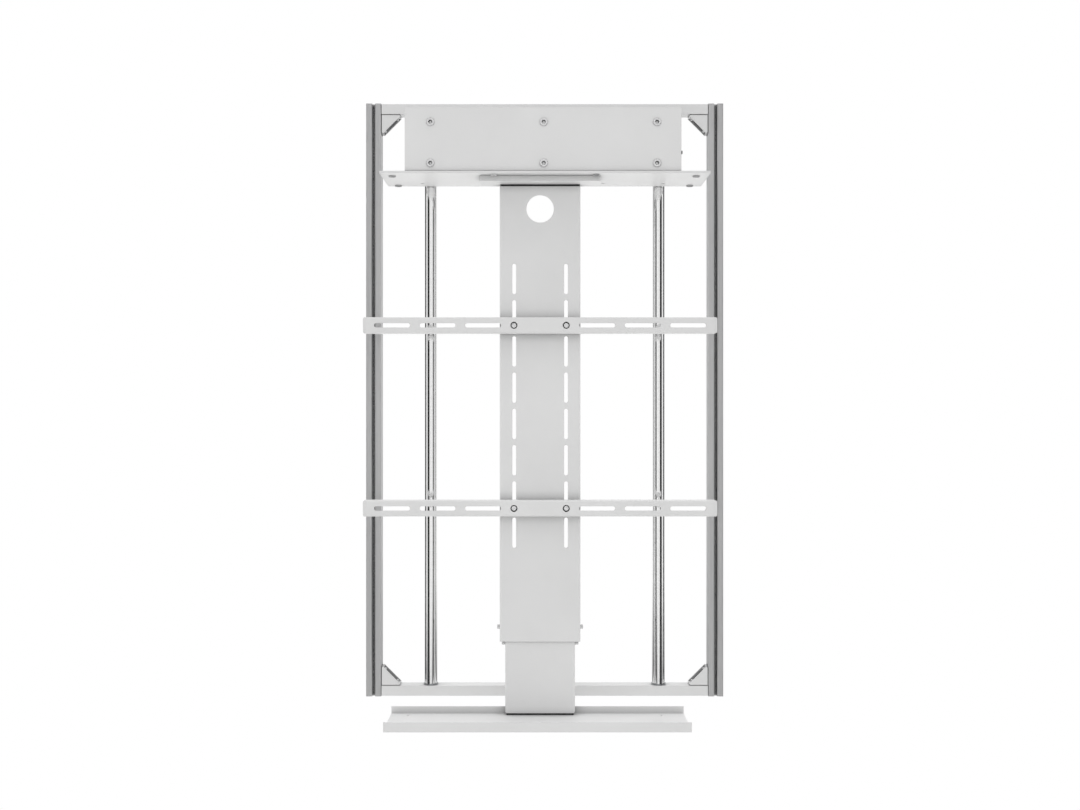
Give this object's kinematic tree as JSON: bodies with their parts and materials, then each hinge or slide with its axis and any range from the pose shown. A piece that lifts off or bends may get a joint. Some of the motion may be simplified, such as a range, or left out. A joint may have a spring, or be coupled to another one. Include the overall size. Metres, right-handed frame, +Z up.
{
  "type": "tv lift mechanism",
  "caption": "Drop-down television lift: slotted rail frame with guide rods, motor carriage, slotted column, two mounting arms and a foot tray.",
  "frame": {"origin": "middle of the top cross bar's back face, in the frame's back plane", "axes": "+X to the right seen from the front, +Y towards the wall behind the frame, +Z up"},
  "size_m": [0.715, 0.172, 1.2218],
  "materials": {
    "rail_aluminium": "clear anodised extrusion",
    "white_paint": "satin powder coat",
    "chrome_plate": "hard chrome, ground",
    "zinc_plate": "bright zinc",
    "gear_steel": "cut steel",
    "black_steel": "blackened steel",
    "block_aluminium": "milled",
    "bush_bronze": "sintered bronze",
    "black_rubber": "matt",
    "black_plastic": "matt",
    "green_board": "solder mask",
    "grey_nylon": "moulded"
  },
  "bodies": {
    "frame": {"left_rail": "rail_aluminium", "right_rail": "rail_aluminium", "top_bar": "white_paint", "bottom_bar": "white_paint", "top_left_bracket": "white_paint", "top_right_bracket": "white_paint", "bottom_left_bracket": "white_paint", "bottom_right_bracket": "white_paint", "bracket_bolts": "zinc_plate", "slot_nuts": "zinc_plate", "left_guide_rod": "chrome_plate", "right_guide_rod": "chrome_plate", "rod_rings": "chrome_plate", "rod_bolts": "zinc_plate", "rack": "gear_steel", "rack_bolts": "zinc_plate"},
    "carriage": {"lower_plate": "white_paint", "plate_liners": "grey_nylon", "back_plate": "white_paint", "housing_shell": "white_paint", "front_cover": "white_paint", "cover_screws": "zinc_plate", "cover_spacers": "zinc_plate", "side_screw": "black_steel", "left_bearing_block": "block_aluminium", "right_bearing_block": "block_aluminium", "slide_bushes": "bush_bronze", "block_bolts": "zinc_plate", "flange_bolts": "zinc_plate", "gearbox": "block_aluminium", "gearbox_bolts": "zinc_plate", "motor_can": "black_steel", "motor_end_cap": "black_plastic", "control_board": "green_board", "board_spacers": "zinc_plate", "power_inlet": "black_plastic", "shaft_bush": "bush_bronze", "hanger_block": "white_paint", "hanger_bolts": "zinc_plate", "service_plug": "white_paint", "service_grommet": "black_rubber", "hanger_pad": "black_rubber", "outer_column": "white_paint", "clamp_screws": "zinc_plate"},
    "pinion": {"drive_pinion": "gear_steel", "output_shaft": "gear_steel", "pinion_nut": "zinc_plate"},
    "upper_bracket": {"upper_arm": "white_paint", "upper_arm_caps": "white_paint", "upper_arm_bolts": "zinc_plate", "upper_arm_nuts": "zinc_plate"},
    "lower_bracket": {"lower_arm": "white_paint", "lower_arm_caps": "white_paint", "lower_arm_bolts": "zinc_plate", "lower_arm_nuts": "zinc_plate"},
    "tray_slide": {"inner_column": "white_paint", "glide_screws": "zinc_plate", "foot_pad": "black_rubber", "tray": "white_paint", "foot_bolts": "zinc_plate"}
  },
  "joints": [
    {"name": "lift_travel", "type": "slide", "parent": "frame", "child": "carriage", "axis": [0, 0, -1], "range_m": [0, 1]},
    {"name": "pinion_spin", "type": "hinge", "parent": "carriage", "child": "pinion", "pos_m": [0.00385, -0.015, -0.115], "axis": [0, -1, 0], "range_deg": [0, 2866]},
    {"name": "upper_arm_adjust", "type": "slide", "parent": "carriage", "child": "upper_bracket", "axis": [0, 0, 1], "range_m": [-0.004, 0.046]},
    {"name": "lower_arm_adjust", "type": "slide", "parent": "carriage", "child": "lower_bracket", "axis": [0, 0, 1], "range_m": [-0.004, 0.046]},
    {"name": "tray_adjust", "type": "slide", "parent": "carriage", "child": "tray_slide", "axis": [0, 0, 1], "range_m": [-0.1, 0.02]}
  ],
  "couplings": [
    {"joint": "pinion_spin", "follows": "lift_travel", "rad_per_m": 50}
  ]
}
